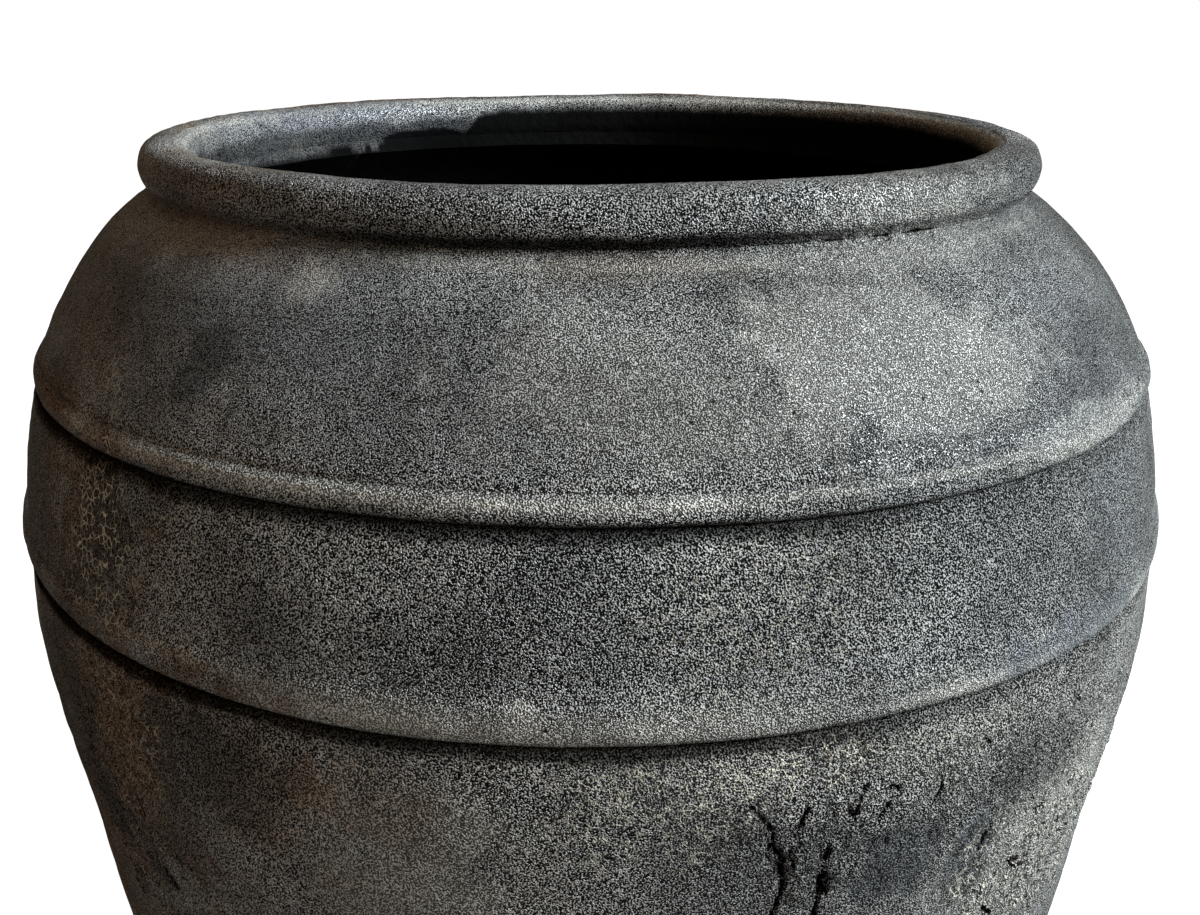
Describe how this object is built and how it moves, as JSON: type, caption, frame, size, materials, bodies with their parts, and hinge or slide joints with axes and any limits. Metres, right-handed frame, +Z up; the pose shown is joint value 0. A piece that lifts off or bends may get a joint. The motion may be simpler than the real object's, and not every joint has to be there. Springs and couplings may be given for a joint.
{
  "type": "black clay pot",
  "caption": "Wide-mouthed round storage pot in black fired clay, with a rolled rim, sloping shoulder, two raised bands and a tapering body on a flat base; it holds plants, water or goods.",
  "frame": {"origin": "centre of the flat underside of the base, on the surface the pot stands on", "axes": "+Z up along the axis of the pot, from the base to the mouth; the pot is turned about it, so +X and +Y are any two square directions"},
  "size_m": [0.6002, 0.6002, 0.64],
  "materials": {
    "black_clay": "satin, pebbled",
    "worn_clay": "matte, crazed",
    "rubbed_clay": "satin, rubbed",
    "smoked_clay": "matte, sooty"
  },
  "bodies": {
    "root": {"base_slab": "smoked_clay", "floor_coil": "smoked_clay", "foot_course": "worn_clay", "lower_course": "worn_clay", "body_course": "worn_clay", "belly_course": "worn_clay", "collar_course": "black_clay", "shoulder_course": "black_clay", "rim_coil": "rubbed_clay", "upper_band": "rubbed_clay", "lower_band": "rubbed_clay"}
  },
  "joints": []
}
